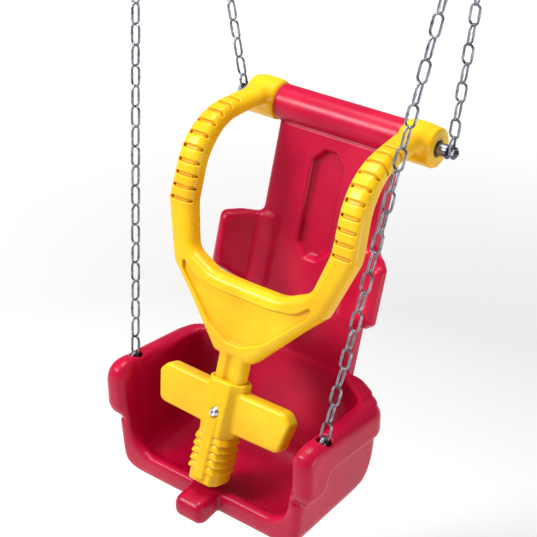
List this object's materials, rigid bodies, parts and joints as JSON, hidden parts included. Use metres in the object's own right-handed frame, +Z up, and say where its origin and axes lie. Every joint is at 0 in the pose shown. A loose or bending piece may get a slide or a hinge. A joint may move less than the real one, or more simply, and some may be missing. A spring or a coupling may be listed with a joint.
{
  "type": "bucket swing",
  "caption": "Toddler bucket swing with a red moulded seat shell, a yellow lock-down harness that hinges at the top of the back, and steel chains to two pendulum hangers",
  "frame": {"origin": "midway between the two hanger pivots, on their common axis", "axes": "X along the pivots to the rider's left, Y horizontal to the rear, Z up"},
  "size_m": [0.76, 0.3981, 1.5963],
  "materials": {
    "moulded_red": "glossy rotomoulded plastic, crimson, softly rounded",
    "moulded_yellow": "glossy rotomoulded plastic, warm yellow",
    "galvanised_steel": "zinc plated steel, slightly dulled",
    "bright_steel": "bright zinc plated steel",
    "black_nylon": "black nylon, matte"
  },
  "bodies": {
    "hangers": {"hanger_bracket_left": "galvanised_steel", "hanger_pin_left": "bright_steel", "hanger_nut_left": "bright_steel", "hanger_bracket_right": "galvanised_steel", "hanger_pin_right": "bright_steel", "hanger_nut_right": "bright_steel"},
    "swing": {"seat_shell": "moulded_red", "anchor_inserts": "galvanised_steel", "front_eyebolts": "galvanised_steel", "axle_tube": "galvanised_steel", "axle_rod": "galvanised_steel", "axle_washers": "galvanised_steel", "axle_cap_nuts": "galvanised_steel", "front_chain_left": "galvanised_steel", "rear_chain_left": "galvanised_steel", "shackle_left": "galvanised_steel", "shackle_pin_left": "bright_steel", "pendulum_left": "galvanised_steel", "pendulum_bush_left": "black_nylon", "front_chain_right": "galvanised_steel", "rear_chain_right": "galvanised_steel", "shackle_right": "galvanised_steel", "shackle_pin_right": "bright_steel", "pendulum_right": "galvanised_steel", "pendulum_bush_right": "black_nylon"},
    "harness": {"harness_frame": "moulded_yellow", "sleeve_bush_left": "black_nylon", "sleeve_bush_right": "black_nylon", "t_handle_spring": "bright_steel"},
    "latch": {"t_handle": "moulded_yellow", "t_handle_bolt": "bright_steel", "t_handle_nut": "galvanised_steel"}
  },
  "joints": [
    {"name": "swing_pivot", "type": "hinge", "parent": "hangers", "child": "swing", "pos_m": [0, 0, 0], "axis": [1, 0, 0], "range_deg": [-50, 50]},
    {"name": "harness_hinge", "type": "hinge", "parent": "swing", "child": "harness", "pos_m": [0, 0.14056, -0.96177], "axis": [-1, 0, 0], "range_deg": [0, 100]},
    {"name": "latch_slide", "type": "slide", "parent": "harness", "child": "latch", "axis": [0, 0.2368, 0.9715], "range_m": [0, 0.028], "stiffness_N_per_m": 300, "springref_m": -0.05, "deforming": ["t_handle_spring"]}
  ]
}
